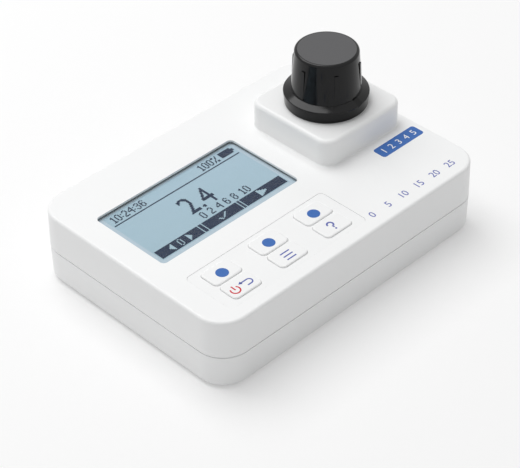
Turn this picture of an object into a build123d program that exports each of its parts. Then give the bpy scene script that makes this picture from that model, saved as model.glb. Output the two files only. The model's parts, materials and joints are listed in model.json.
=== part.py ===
from build123d import *
import math
import os

# A bench photometer: a flat white case with a display and six keys on its left, and on its right a
# raised block with a round well. A glass cuvette with a black screw cap stands in the well, where
# light from a lamp passes through it to a detector. All sizes are in millimetres.
# The origin is the centre of the footprint on the table, +X runs to the user's right and +Z is up.

# Case
case_length = 142.5
case_width = 102.5
case_corner = 12.0
case_wall = 2.8
case_draft = 1.0
foot_height = 1.0
seam_z = 14.9
deck_z = 31.6
deck_wall = 2.5
floor_wall = 2.8
deck_round = 1.2
floor_round = 1.6
reveal_height = 0.5
reveal_depth = 0.5
tongue_height = 0.4

# Seal between the shells
seal_inset = 0.9
seal_width = 1.2
seal_height = 1.2

# Screws of the case, one in each corner, and the feet that cover them
screw_inset = 9.25
screw_radius = 1.45
screw_head_radius = 2.8
screw_head_height = 2.0
screw_seat_z = 8.0
screw_bite = 9.0
screw_head_round = 0.3
screw_slot_share = 0.9
screw_slot_slimness = 3.6
boss_wall = 2.9
foot_radius = 5.0
foot_recess = 0.8
foot_round = 0.3

# Raised block round the well
block_height = 11.65
block_corner = 6.0
block_round = 1.8
block_foot_round = 0.6
block_draft = 0.5
block_wall = 2.5
block_room = 2.5
rib_depth = 2.5
rib_thickness = 1.2
block_from_right = 4.35
block_from_rear = 20.4

# Display window and what lies under it
window_corner = 2.0
window_from_left = 11.1
window_from_rear = 22.65
window_to_block = 12.05
window_to_panel = 11.2
window_lip = 0.9
lens_thickness = 1.4
lens_recess = 0.3
lens_border = 2.0
lens_seal_thickness = 0.2
glass_border = 3.0
glass_thickness = 1.8
backlight_thickness = 3.2
lcd_frame_wall = 1.5
lcd_frame_floor = 1.0
lcd_frame_leg_radius = 2.0
rib_from_frame = 1.5
pocket_gap = 0.5
pocket_corner = 1.0

# Keypad
panel_overhang = 0.1
panel_border = 2.45
panel_corner = 2.0
panel_from_front = 6.45
mat_thickness = 0.8
mat_recess = 0.1
key_length = 13.9
key_width = 9.3
key_corner = 2.0
key_proud = 0.5
key_round = 0.6
key_end_margin = 4.75
key_row_gap = 0.7
key_travel = 0.6
key_flange = 1.0
key_flange_thickness = 0.8
key_stem_radius = 2.0
switch_size = 6.0
switch_height = 2.6
switch_button_radius = 1.7
switch_button_height = 0.7

# Circuit board
board_thickness = 1.6
board_edge_gap = 1.9
board_notch = 13.0
board_notch_round = 1.5
board_post_radius = 3.0
board_post_from_edge = 3.05
board_post_from_left = 21.0
board_post_from_right = 4.5
board_screw_radius = 1.2
board_screw_head_radius = 2.3
board_screw_head_height = 1.3
board_screw_length = 8.0
chip_size = 12.0
chip_height = 1.4
buzzer_radius = 5.0
buzzer_height = 5.0
capacitor_radius = 3.0
capacitor_height = 5.2
capacitor_gap = 1.0
plug_length = 8.0
plug_width = 4.0
plug_height = 3.0
plug_from_middle = 1.0

# Cuvette, stopper and cap, all turned about the axis of the well
vial_radius = 12.3
vial_wall = 1.3
vial_base = 2.0
vial_body_height = 35.7
vial_height = 52.2
vial_foot_round = 1.5
neck_step = 2.3
neck_wall = 1.6
neck_round = 1.5
rim_round = 0.4
shoulder_height = 4.0
shoulder_round = 3.0
shoulder_inner_round = 2.0
stopper_depth = 6.0
stopper_wall = 1.2
stopper_flange_thickness = 1.6
stopper_foot_round = 0.6
cap_seal_thickness = 1.5
cap_roof = 2.7
cap_thread_room = 0.9
cap_grip_wall = 1.85
cap_grip_taper = 1.45
cap_flange_reach = 4.9
cap_flange_flare = 0.45
cap_flange_height = 5.0
cap_flange_round = 0.4
cap_flange_foot_round = 0.3
cap_slope_rise = 1.3
cap_edge_round = 1.1
cap_roof_gap = 0.05
rib_count = 6
rib_width = 1.6
rib_start_below_top = 4.6
rib_above_cone_foot = 2.1
rib_proud_at_top = 0.45
rib_sunk = 1.2
rib_round = 0.15
notch_width = 3.2
notch_depth = 0.8

# Optical block with the well
well_wall = 2.5
well_floor_z = 9.0
well_floor_thickness = 2.0
well_lead_in = 0.6
collar_wall = 1.8
collar_recess = 0.2
collar_shoulder_width = 2.7
collar_shoulder_height = 1.5
holder_plate_gap = 1.0
holder_plate_thickness = 3.0
holder_seal_width = 1.9
holder_seal_thickness = 1.5
holder_screw_inset = 3.9
holder_screw_radius = 1.2
holder_screw_head_radius = 2.2
holder_screw_head_height = 1.4
holder_screw_bite = 4.0
holder_boss_radius = 3.0
index_slot_width = 3.0
index_slot_depth = 1.5
light_axis_z = 20.0
arm_width = 18.0
arm_height = 16.0
arm_corner = 1.0
source_arm_reach = 36.0
detector_arm_reach = 27.0
channel_radius = 3.0
optic_bore_radius = 4.5
optic_bore_from_axis = 16.8
splitter_from_axis = 19.0
splitter_width = 8.6
splitter_thickness = 1.0
focus_lens_from_axis = 23.4
focus_lens_rim = 1.2
focus_lens_bulge = 0.7
led_radius = 2.5
led_length = 8.6
led_flange_radius = 2.9
led_flange_thickness = 1.0
led_bush_length = 9.0
filter_thickness = 3.0
detector_radius = 4.2
detector_length = 4.5
detector_gap = 0.6
detector_flange_thickness = 0.8
optics_board_thickness = 1.6
reference_radius = 2.4
reference_flange_reach = 0.6
reference_flange_thickness = 1.0
pin_radius = 0.25
pin_spread = 1.27
pin_reach = 1.0

# Battery bay in the floor
bay_from_left = 46.25
bay_room = 1.8
bay_wall = 1.8
bay_rim_wall = 4.0
bay_rim_height = 8.0
bay_roof = 1.4
cover_overlap = 2.8
cover_thickness = 2.2
cover_round = 0.5
cover_spigot_wall = 2.0
cover_spigot_height = 4.8
lug_count = 3
lug_angle = 30.0
lug_entry_play = 4.0
lug_height = 2.0
lug_reach = 1.9
lug_turn = 45.0
cover_seal_width = 1.2
cover_seal_height = 0.8
coin_slot_length = 22.0
coin_slot_width = 2.4
coin_slot_depth = 1.2
cell_radius = 7.25
cell_length = 50.5
cell_nub_radius = 2.75
cell_nub_length = 1.0
cell_gap = 0.4
cell_round = 0.4
cell_lift = 0.85
spring_room = 3.5
contact_thickness = 0.4
contact_width = 9.0
spring_width = 6.0
spring_half_height = 4.0
cradle_end_wall = 1.6
cradle_side_wall = 1.0
cradle_roof = 0.8
cradle_corner = 1.0

# Clearances
running_gap = 0.1
key_gap = 0.12
flange_gap = 0.15
seat_gap = 0.3
well_gap = 0.2
screw_gap = 0.05
bayonet_gap = 0.3
loose_gap = 0.5
board_gap = 0.4
cut_margin = 1.0

# Places worked out from the sizes above
left_x = -case_length / 2
right_x = case_length / 2
front_y = -case_width / 2
rear_y = case_width / 2
floor_z = foot_height + floor_wall
deck_under_z = deck_z - deck_wall
inner_length = case_length - 2 * case_wall
inner_width = case_width - 2 * case_wall
inner_corner = case_corner - case_wall
screw_x = case_length / 2 - screw_inset
screw_y = case_width / 2 - screw_inset
corners = [(x, y) for x in (-screw_x, screw_x) for y in (-screw_y, screw_y)]
boss_radius = screw_radius + boss_wall

bore_radius = vial_radius + well_gap
tube_radius = bore_radius + well_wall
collar_radius = bore_radius + collar_wall
collar_shoulder_radius = collar_radius + collar_shoulder_width
holder_seal_radius = collar_radius + holder_seal_width
block_length = 2 * (collar_shoulder_radius + block_room + block_wall)
block_width = block_length
holder_plate_size = block_length - 2 * (block_wall + holder_plate_gap)
holder_screw_offset = holder_plate_size / 2 - holder_screw_inset

block_top_z = deck_z + block_height
well_x = right_x - block_from_right - block_length / 2
well_y = rear_y - block_from_rear - block_width / 2

panel_width = 2 * key_width + key_row_gap + 2 * panel_border
window_length = case_length - window_from_left - window_to_block - block_length - block_from_right
window_width = case_width - window_from_rear - window_to_panel - panel_width - panel_from_front
panel_length = window_length + 2 * panel_overhang
window_x = left_x + window_from_left + window_length / 2
window_y = rear_y - window_from_rear - window_width / 2
window_lip_z = deck_z - window_lip
lens_top_z = deck_z - lens_recess
lens_under_z = lens_top_z - lens_thickness
lens_flange_z = window_lip_z - lens_seal_thickness
glass_length = window_length + 2 * glass_border
glass_width = window_width + 2 * glass_border
glass_under_z = lens_under_z - glass_thickness
backlight_under_z = glass_under_z - backlight_thickness
lcd_frame_under_z = backlight_under_z - lcd_frame_floor

panel_y = front_y + panel_from_front + panel_width / 2
key_pitch_across = (panel_length - key_length) / 2 - key_end_margin
key_pitch_deep = key_width + key_row_gap
key_columns = [window_x + step * key_pitch_across for step in (-1, 0, 1)]
key_rows = [panel_y + key_pitch_deep / 2, panel_y - key_pitch_deep / 2]
key_top_z = deck_z + key_proud
key_flange_top_z = deck_under_z - well_gap
key_flange_under_z = key_flange_top_z - key_flange_thickness
mat_top_z = deck_z - mat_recess
mat_under_z = mat_top_z - mat_thickness

cell_pitch = 2 * cell_radius + cell_gap
contact_x = (cell_length + spring_room) / 2
bay_radius = math.hypot(contact_x + contact_thickness, cell_pitch + cell_radius) + bay_room
cover_radius = bay_radius + cover_overlap
bay_x = left_x + bay_from_left
bay_y = 0.0
cover_top_z = foot_height + cover_thickness
cell_z = cover_top_z + cell_lift + cell_radius
bay_ceiling_z = cell_z + cell_radius + running_gap + cradle_roof
bay_roof_z = bay_ceiling_z + bay_roof
lug_top_z = cover_top_z + cover_spigot_height
lug_under_z = lug_top_z - lug_height

board_under_z = bay_roof_z + board_gap
board_top_z = board_under_z + board_thickness
board_left = -inner_length / 2 + board_edge_gap
board_right = well_x - holder_plate_size / 2 - board_edge_gap
board_front = -inner_width / 2 + board_edge_gap
board_rear = inner_width / 2 - board_edge_gap
board_posts = [
    (x, y)
    for x in (board_left + board_post_from_left, board_right - board_post_from_right)
    for y in (board_front + board_post_from_edge, board_rear - board_post_from_edge)
]

vial_bottom_z = well_floor_z + seat_gap
vial_top_z = vial_bottom_z + vial_height
shoulder_z = vial_bottom_z + vial_body_height
neck_z = shoulder_z + shoulder_height
neck_radius = vial_radius - neck_step
mouth_radius = neck_radius - neck_wall
stopper_top_z = vial_top_z + stopper_flange_thickness
cap_seal_top_z = stopper_top_z + cap_roof_gap + cap_seal_thickness
cap_foot_z = block_top_z + flange_gap
cap_roof_z = cap_seal_top_z + cap_roof_gap
cap_top_z = cap_roof_z + cap_roof
cap_slope_z = cap_foot_z + cap_flange_height
cap_cone_z = cap_slope_z + cap_slope_rise
cap_bore_radius = neck_radius + cap_thread_room
cap_top_radius = cap_bore_radius + cap_grip_wall
cap_foot_radius = cap_top_radius + cap_grip_taper
cap_flange_radius = vial_radius + cap_flange_reach
cap_flange_foot_radius = cap_flange_radius - cap_flange_flare
block_under_z = block_top_z - block_wall
shoulder_top_z = block_under_z - holder_seal_thickness
plate_top_z = shoulder_top_z - collar_shoulder_height
plate_under_z = plate_top_z - holder_plate_thickness


def slab(length, width, corner, low, high, x=0.0, y=0.0):
    """An upright block with rounded corners between two heights."""
    outline = RectangleRounded(length, width, corner) if corner else Rectangle(length, width)
    return Pos(x, y, low) * extrude(outline, high - low)


def disc(radius, low, high, x=0.0, y=0.0):
    """An upright cylinder between two heights."""
    return Pos(x, y, low) * extrude(Circle(radius), high - low)


def ring(outer, inner, low, high, x=0.0, y=0.0):
    """An upright tube between two heights."""
    return Pos(x, y, low) * extrude(Circle(outer) - Circle(inner), high - low)


def rod(radius, start, end, x, z):
    """A cylinder along Y between two places."""
    return Pos(x, start, z) * extrude(Plane.XZ * Circle(radius), -(end - start))


def turned(points, rounds=()):
    """A solid turned about Z from (radius, height) points, with some of its corners rounded."""
    outline = make_face(Polyline([(r, 0, z) for r, z in points], close=True))
    for place, radius in rounds:
        near = outline.vertices().sort_by_distance((place[0], 0, place[1]))[0]
        outline = fillet(near, radius)
    return revolve(outline, Axis.Z)


def top_edges(shape):
    return shape.edges().group_by(Axis.Z)[-1]


def bottom_edges(shape):
    return shape.edges().group_by(Axis.Z)[0]


def screw(radius, head_radius, head_height, length):
    """A pan head screw with its head below the origin and its shank up along +Z."""
    head = disc(head_radius, -head_height, 0)
    head = fillet(bottom_edges(head), screw_head_round * head_height)
    slot_size = screw_slot_share * head_radius
    slot_width = slot_size / screw_slot_slimness
    slot = Box(slot_size, slot_width, head_height) + Box(slot_width, slot_size, head_height)
    return head + disc(radius, 0, length) - Pos(0, 0, -head_height) * slot


def upper_case():
    """The upper shell: deck, raised block, window, keypad recess, and the bosses inside."""
    outline = RectangleRounded(case_length, case_width, case_corner)
    shell = Pos(0, 0, seam_z) * extrude(outline, deck_z - seam_z, taper=case_draft)
    shell = fillet(top_edges(shell), deck_round)
    block_outline = RectangleRounded(block_length, block_width, block_corner)
    block = extrude(block_outline, block_height + deck_wall, taper=block_draft)
    block = Pos(well_x, well_y, deck_under_z) * fillet(top_edges(block), block_round)
    shell += block
    reach = max(block_length, block_width) / 2 + cut_margin
    foot = [
        edge
        for edge in shell.edges()
        if abs(edge.center().Z - deck_z) < 0.01
        and abs(edge.center().X - well_x) < reach
        and abs(edge.center().Y - well_y) < reach
        and edge.bounding_box().size.X < block_length + cut_margin
        and edge.bounding_box().size.Y < block_width + cut_margin
    ]
    shell = fillet(foot, block_foot_round)

    # Hollow of the case and of the block
    shell -= slab(inner_length, inner_width, inner_corner, seam_z, deck_under_z)
    hollow_length = block_length - 2 * block_wall
    hollow_width = block_width - 2 * block_wall
    hollow_corner = block_corner - block_wall
    hollow = slab(hollow_length, hollow_width, hollow_corner, deck_under_z, block_under_z)
    shell -= Pos(well_x, well_y, 0) * hollow

    # Bosses of the corner screws
    for x, y in corners:
        shell += disc(boss_radius, seam_z, deck_under_z, x, y)
    # Bosses that carry the optical block, in the corners of the raised block
    for x, y in holder_screw_places():
        shell += disc(holder_boss_radius, plate_top_z, block_under_z, x, y)
    shell += stiffening_ribs()

    for x, y in corners:
        shell -= disc(screw_radius + screw_gap, seam_z, seam_z + screw_bite + cut_margin, x, y)
    for x, y in holder_screw_places():
        hole_top = plate_top_z + holder_screw_bite + loose_gap
        shell -= disc(holder_screw_radius + screw_gap, plate_top_z, hole_top, x, y)

    # Window, with a pocket below its lip for the lens and the panel
    opening = slab(window_length, window_width, window_corner, deck_under_z, deck_z + cut_margin)
    pocket_length = glass_length + 2 * pocket_gap
    pocket_width = glass_width + 2 * pocket_gap
    pocket = slab(pocket_length, pocket_width, pocket_corner, deck_under_z, window_lip_z)
    shell -= Pos(window_x, window_y, 0) * (opening + pocket)

    # Recess of the keypad, and a hole for each key
    recess = slab(panel_length, panel_width, panel_corner, mat_under_z, deck_z + cut_margin)
    shell -= Pos(window_x, panel_y, 0) * recess
    for x, y in key_places().values():
        shell -= key_hole(x, y, deck_under_z - cut_margin, deck_z)

    # Mouth of the well
    shell -= disc(collar_radius + running_gap, block_under_z, block_top_z + cut_margin, well_x, well_y)

    # Step along the seam, and the tongue that presses the seal
    step_z = seam_z + reveal_height
    band = slab(case_length + cut_margin, case_width + cut_margin, case_corner, seam_z, step_z)
    inside = slab(
        case_length - 2 * reveal_depth,
        case_width - 2 * reveal_depth,
        case_corner - reveal_depth,
        seam_z,
        step_z,
    )
    shell -= band - inside
    shell += seal_ring(seam_z - tongue_height, seam_z, running_gap)
    return shell


def stiffening_ribs():
    """Ribs under the deck, behind the window and between the window and the block."""
    low = deck_under_z - rib_depth
    rib_y = window_y + glass_width / 2 + pocket_gap + lcd_frame_wall + rib_from_frame
    across = slab(glass_length, rib_thickness, 0, low, deck_under_z, window_x, rib_y)
    block_left = well_x - block_length / 2
    rib_x = (window_x + glass_length / 2 + pocket_gap + block_left) / 2
    deep = slab(rib_thickness, glass_width, 0, low, deck_under_z, rib_x, window_y)
    return across + deep


def seal_ring(low, high, inset=0.0):
    """A band that follows the wall of the case, as the seal and its groove do."""
    outside = seal_inset + inset
    within = seal_inset + seal_width - inset
    bands = [
        slab(case_length - 2 * side, case_width - 2 * side, case_corner - side, low, high)
        for side in (outside, within)
    ]
    return bands[0] - bands[1]


def lower_case():
    """The lower shell: floor, seal groove, screw bosses, battery bay and board posts."""
    height = seam_z - foot_height
    outline = RectangleRounded(case_length, case_width, case_corner)
    shell = Pos(0, 0, seam_z) * Rot(180, 0, 0) * extrude(outline, height, taper=case_draft)
    shell = fillet(bottom_edges(shell), floor_round)
    shell -= slab(inner_length, inner_width, inner_corner, floor_z, seam_z)
    head_boss_radius = boss_radius + screw_head_radius - screw_radius
    room = slab(inner_length + case_wall, inner_width + case_wall, inner_corner, foot_height, seam_z)
    for x, y in corners:
        shell += disc(head_boss_radius, foot_height, seam_z, x, y) & room
    shell -= seal_ring(seam_z - tongue_height - seal_height, seam_z)

    # Posts of the board
    for x, y in board_posts:
        shell += disc(board_post_radius, foot_height + floor_wall / 2, board_under_z, x, y)

    # Battery bay: a round wall with a heavier rim, and a roof
    shell += disc(bay_radius + bay_rim_wall, foot_height, floor_z + bay_rim_height, bay_x, bay_y)
    shell += disc(bay_radius + bay_wall, foot_height, bay_roof_z, bay_x, bay_y)
    shell -= disc(bay_radius, foot_height, bay_ceiling_z, bay_x, bay_y)
    shell -= disc(cover_radius + seat_gap, 0, cover_top_z, bay_x, bay_y)
    groove = (lug_under_z - bayonet_gap, lug_top_z + bayonet_gap)
    shell -= disc(bay_radius + lug_reach, groove[0], groove[1], bay_x, bay_y)
    for turn in lug_turns(lug_turn):
        entry = sector(bay_radius + lug_reach, lug_angle + lug_entry_play, cover_top_z, groove[1])
        shell -= Pos(bay_x, bay_y, 0) * Rot(0, 0, turn) * entry

    hole_depth = board_screw_length - board_thickness + loose_gap
    for x, y in board_posts:
        shell -= disc(board_screw_radius + screw_gap, board_under_z - hole_depth, board_under_z, x, y)
    for x, y in corners:
        shell -= disc(foot_radius, 0, foot_height + foot_recess, x, y)
        shell -= disc(screw_head_radius + running_gap, foot_height, screw_seat_z, x, y)
        shell -= disc(screw_radius + running_gap, screw_seat_z, seam_z + cut_margin, x, y)
    return shell


def sector(radius, angle, low, high):
    """A pie slice about Z, centred on +X."""
    half = math.radians(angle / 2)
    far_x = radius + cut_margin
    far_y = far_x * math.tan(half)
    outline = make_face(Polyline([(0, 0), (far_x, -far_y), (far_x, far_y)], close=True)) & Circle(radius)
    return Pos(0, 0, low) * extrude(outline, high - low)


def lug_turns(start=0.0):
    return [start + step * 360 / lug_count for step in range(lug_count)]


def case_screws():
    length = seam_z + screw_bite - screw_seat_z
    one = screw(screw_radius, screw_head_radius, screw_head_height, length)
    return [Pos(x, y, screw_seat_z) * one for x, y in corners]


def rubber_feet():
    one = disc(foot_radius - running_gap, 0, foot_height + foot_recess)
    one = fillet(bottom_edges(one), foot_round)
    return [Pos(x, y, 0) * one for x, y in corners]


def display_lens():
    """A clear window: the middle stands up into the opening, the border lies under its lip."""
    middle = slab(
        window_length - 2 * running_gap,
        window_width - 2 * running_gap,
        window_corner,
        lens_under_z,
        lens_top_z,
        window_x,
        window_y,
    )
    border = slab(
        window_length + 2 * lens_border,
        window_width + 2 * lens_border,
        window_corner,
        lens_under_z,
        lens_flange_z,
        window_x,
        window_y,
    )
    return middle + border


def lens_seal():
    """The adhesive ring between the border of the window and the lip of the opening."""
    outer_length = window_length + 2 * lens_border
    outer_width = window_width + 2 * lens_border
    outer = slab(outer_length, outer_width, window_corner, lens_flange_z, window_lip_z)
    inner = slab(window_length, window_width, window_corner, lens_flange_z, window_lip_z)
    return Pos(window_x, window_y, 0) * (outer - inner)


def lcd_glass():
    return slab(glass_length, glass_width, 0, glass_under_z, lens_under_z, window_x, window_y)


def lcd_backlight():
    return slab(glass_length, glass_width, 0, backlight_under_z, glass_under_z, window_x, window_y)


def lcd_frame():
    """A tray round the light guide, on four legs that stand on the board."""
    wall = lcd_frame_wall + running_gap
    tray = slab(
        glass_length + 2 * wall,
        glass_width + 2 * wall,
        window_corner,
        lcd_frame_under_z,
        glass_under_z,
        window_x,
        window_y,
    )
    tray -= slab(
        glass_length + 2 * running_gap,
        glass_width + 2 * running_gap,
        0,
        backlight_under_z,
        glass_under_z,
        window_x,
        window_y,
    )
    for side_x in (-1, 1):
        for side_y in (-1, 1):
            x = window_x + side_x * (glass_length / 2 - lcd_frame_leg_radius)
            y = window_y + side_y * (glass_width / 2 - lcd_frame_leg_radius)
            tray += disc(lcd_frame_leg_radius, board_top_z, lcd_frame_under_z, x, y)
    return tray


def key_places():
    """Names of the keys and their centres, front row last."""
    upper, lower = key_rows
    first, second, third = key_columns
    return {
        "key_function_left": (first, upper),
        "key_function_middle": (second, upper),
        "key_function_right": (third, upper),
        "key_power": (first, lower),
        "key_menu": (second, lower),
        "key_help": (third, lower),
    }


def key_hole(x, y, low, high):
    return slab(key_length + 2 * key_gap, key_width + 2 * key_gap, key_corner + key_gap, low, high, x, y)


def keypad_mat():
    mat = slab(
        panel_length - 2 * running_gap,
        panel_width - 2 * running_gap,
        panel_corner - running_gap,
        mat_under_z,
        mat_top_z,
        window_x,
        panel_y,
    )
    for x, y in key_places().values():
        mat -= key_hole(x, y, mat_under_z, mat_top_z)
    return mat


def key(x, y):
    """A key cap with a soft upper edge, a flange on its left and right, and a stem below."""
    cap = slab(key_length, key_width, key_corner, key_flange_under_z, key_top_z)
    cap = fillet(top_edges(cap), key_round)
    flange_length = key_length + 2 * key_flange
    cap += slab(flange_length, key_width - 2 * key_corner, 0, key_flange_under_z, key_flange_top_z)
    switch_top = board_top_z + switch_height + switch_button_height
    cap += disc(key_stem_radius, switch_top + key_travel + running_gap, key_flange_under_z)
    return Pos(x, y, 0) * cap


def key_switches():
    housing = slab(switch_size, switch_size, 0, board_top_z, board_top_z + switch_height)
    button_top = board_top_z + switch_height + switch_button_height
    one = housing + disc(switch_button_radius, board_top_z + switch_height, button_top)
    return [Pos(x, y, 0) * one for x, y in key_places().values()]


def main_board():
    """The circuit board, with its two left corners cut away for the screw bosses."""
    length = board_right - board_left
    width = board_rear - board_front
    middle_x = (board_left + board_right) / 2
    middle_y = (board_front + board_rear) / 2
    board = slab(length, width, 0, board_under_z, board_top_z, middle_x, middle_y)
    for y in (board_front, board_rear):
        notch = slab(2 * board_notch, 2 * board_notch, board_notch_round, board_under_z, board_top_z)
        board -= Pos(board_left, y, 0) * notch
    for x, y in board_posts:
        board -= disc(board_screw_radius + running_gap, board_under_z, board_top_z, x, y)
    return board


def board_screws():
    one = screw(board_screw_radius, board_screw_head_radius, board_screw_head_height, board_screw_length)
    return [Pos(x, y, board_top_z) * Rot(180, 0, 0) * one for x, y in board_posts]


def right_strip_x():
    """The middle of the strip of board to the right of the display tray."""
    tray_right = window_x + glass_length / 2 + lcd_frame_wall + running_gap
    return (tray_right + board_right) / 2


def microcontroller():
    return slab(
        chip_size,
        chip_size,
        0,
        board_top_z,
        board_top_z + chip_height,
        board_right - chip_size / 2 - loose_gap,
        key_rows[0],
    )


def board_parts():
    """Plugs for the cables of the lamp, the detector and the cells, and three capacitors."""
    parts = []
    plug_x = right_strip_x() + plug_from_middle
    for y in (window_y - glass_width / 4, window_y, window_y + glass_width / 4):
        plug = slab(plug_width, plug_length, 0, board_top_z, board_top_z + plug_height, plug_x, y)
        parts.append(plug)
    rear_row = board_rear - capacitor_radius - 2 * loose_gap
    for step in range(3):
        x = window_x - step * (2 * capacitor_radius + capacitor_gap)
        parts.append(disc(capacitor_radius, board_top_z, board_top_z + capacitor_height, x, rear_row))
    return parts


def buzzer():
    x = window_x + 4 * buzzer_radius
    y = board_rear - buzzer_radius - loose_gap
    body = disc(buzzer_radius, board_top_z, board_top_z + buzzer_height, x, y)
    sound_hole = disc(buzzer_radius / 6, board_top_z + buzzer_height / 2, board_top_z + buzzer_height, x, y)
    return body - sound_hole


def holder_screw_places():
    return [
        (well_x + side_x * holder_screw_offset, well_y + side_y * holder_screw_offset)
        for side_x in (-1, 1)
        for side_y in (-1, 1)
    ]


def cuvette_holder():
    """The optical block: the well, a source arm to the rear and a detector arm to the front."""
    body = disc(tube_radius, well_floor_z - well_floor_thickness, plate_top_z)
    plate_corner = block_corner - block_wall
    body += slab(holder_plate_size, holder_plate_size, plate_corner, plate_under_z, plate_top_z)
    body += disc(collar_shoulder_radius, plate_top_z, shoulder_top_z)
    body += disc(collar_radius, shoulder_top_z, block_top_z - collar_recess)
    arm_length = source_arm_reach + detector_arm_reach
    arm_middle = (source_arm_reach - detector_arm_reach) / 2
    low = light_axis_z - arm_height / 2
    high = light_axis_z + arm_height / 2
    body += slab(arm_width, arm_length, arm_corner, low, high, 0, arm_middle)

    # The well itself, with a lead-in at its mouth and the slot that lines the cap up
    body -= disc(bore_radius, well_floor_z, block_top_z)
    mouth = [
        edge
        for edge in body.edges().filter_by(GeomType.CIRCLE)
        if abs(edge.radius - bore_radius) < 0.01 and edge.center().Z > shoulder_top_z
    ]
    body = chamfer(mouth, well_lead_in)
    slot_z = block_top_z - collar_recess - index_slot_depth
    body -= slab(index_slot_width, collar_radius, 0, slot_z, block_top_z, 0, -collar_radius)

    # Light channel right through, wider where the lens, the filter and the lamp sit
    body -= rod(channel_radius, -detector_arm_reach, source_arm_reach, 0, light_axis_z)
    body -= rod(optic_bore_radius, optic_bore_from_axis, source_arm_reach, 0, light_axis_z)
    body -= rod(optic_bore_radius, -detector_arm_reach, -optic_bore_from_axis, 0, light_axis_z)

    # Slanted slot for the splitter, and the side bore of the reference detector
    slot_length = splitter_width + 2 * running_gap
    slot_thickness = splitter_thickness + 2 * running_gap
    slot = slab(slot_length, slot_thickness, 0, light_axis_z - optic_bore_radius, high + cut_margin)
    body -= Pos(0, splitter_from_axis, 0) * Rot(0, 0, 45) * slot
    side_bore = Rot(0, 90, 0) * Cylinder(reference_radius + running_gap, arm_width)
    body -= Pos(arm_width / 2, splitter_from_axis, light_axis_z) * side_bore

    for x, y in holder_screw_places():
        body -= disc(holder_screw_radius + running_gap, plate_under_z, plate_top_z, x - well_x, y - well_y)
    return Pos(well_x, well_y, 0) * body


def holder_seal():
    return ring(holder_seal_radius, collar_radius, shoulder_top_z, block_under_z, well_x, well_y)


def holder_screws():
    length = holder_plate_thickness + holder_screw_bite
    one = screw(holder_screw_radius, holder_screw_head_radius, holder_screw_head_height, length)
    return [Pos(x, y, plate_under_z) * one for x, y in holder_screw_places()]


def led_lamp():
    """A round lamp with a domed nose that points to the well, and two pins into its board."""
    tail = source_arm_reach
    nose = tail - led_length
    body = rod(led_radius, nose + led_radius, tail, 0, light_axis_z)
    body += Pos(0, nose + led_radius, light_axis_z) * Sphere(led_radius)
    body += rod(led_flange_radius, tail, tail + led_flange_thickness, 0, light_axis_z)
    pin_end = tail + led_flange_thickness + optics_board_thickness + pin_reach
    for side in (-1, 1):
        body += rod(pin_radius, tail + led_flange_thickness / 2, pin_end, side * pin_spread, light_axis_z)
    return Pos(well_x, well_y, 0) * body


def led_bush():
    """A sleeve that centres the lamp in the bore of the source arm."""
    start = source_arm_reach - led_bush_length
    sleeve = rod(optic_bore_radius - running_gap / 2, start, source_arm_reach, 0, light_axis_z)
    sleeve -= rod(led_radius + running_gap / 2, start, source_arm_reach, 0, light_axis_z)
    return Pos(well_x, well_y, 0) * sleeve


def end_board(near, far, pins):
    """A small board across the end of an arm, with a hole for each pin."""
    middle = (near + far) / 2
    board = Pos(0, middle, light_axis_z) * Box(arm_width, abs(far - near), arm_height)
    for x, z in pins:
        board -= rod(pin_radius + running_gap, min(near, far), max(near, far), x, z)
    return Pos(well_x, well_y, 0) * board


def led_board():
    near = source_arm_reach + led_flange_thickness
    pins = [(side * pin_spread, light_axis_z) for side in (-1, 1)]
    return end_board(near, near + optics_board_thickness, pins)


def focusing_lens():
    """A biconvex lens: two shallow caps on a rim."""
    radius = optic_bore_radius - running_gap / 2
    sphere_radius = (radius**2 + focus_lens_bulge**2) / (2 * focus_lens_bulge)
    half = focus_lens_rim / 2
    rim = rod(radius, -half, half, 0, 0)
    for side in (-1, 1):
        ball = Pos(0, side * (half + focus_lens_bulge - sphere_radius), 0) * Sphere(sphere_radius)
        keep = rod(radius, min(0, side * sphere_radius), max(0, side * sphere_radius), 0, 0)
        rim += ball & keep
    middle = focus_lens_from_axis + half + focus_lens_bulge
    return Pos(well_x, well_y + middle, light_axis_z) * rim


def beam_splitter():
    low = light_axis_z - optic_bore_radius
    plate = slab(splitter_width, splitter_thickness, 0, low, light_axis_z + arm_height / 2)
    return Pos(well_x, well_y + splitter_from_axis, 0) * Rot(0, 0, 45) * plate


def reference_detector():
    """A small can in the side bore of the source arm."""
    length = arm_width / 2 - optic_bore_radius
    can = Rot(0, 90, 0) * Cylinder(reference_radius, length)
    flange_radius = reference_radius + reference_flange_reach
    flange = Rot(0, 90, 0) * Cylinder(flange_radius, reference_flange_thickness)
    can += Pos((length + reference_flange_thickness) / 2, 0, 0) * flange
    x = well_x + optic_bore_radius + length / 2
    return Pos(x, well_y + splitter_from_axis, light_axis_z) * can


def interference_filter():
    start = -optic_bore_from_axis - filter_thickness
    radius = optic_bore_radius - running_gap / 2
    return Pos(well_x, well_y, 0) * rod(radius, start, -optic_bore_from_axis, 0, light_axis_z)


def photodetector():
    """A round can behind the filter, with three pins into its board."""
    front = -optic_bore_from_axis - filter_thickness - detector_gap
    back = front - detector_length
    can = rod(detector_radius, back, front, 0, light_axis_z)
    flange_radius = optic_bore_radius - running_gap / 2
    can += rod(flange_radius, back, back + detector_flange_thickness, 0, light_axis_z)
    pin_end = -detector_arm_reach - optics_board_thickness - pin_reach
    for x, z in detector_pins():
        can += rod(pin_radius, pin_end, back + detector_flange_thickness / 2, x, z)
    return Pos(well_x, well_y, 0) * can


def detector_pins():
    spread = 2 * pin_spread
    return [(-spread, light_axis_z), (spread, light_axis_z), (0, light_axis_z - spread)]


def detector_board():
    return end_board(-detector_arm_reach, -detector_arm_reach - optics_board_thickness, detector_pins())


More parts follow.
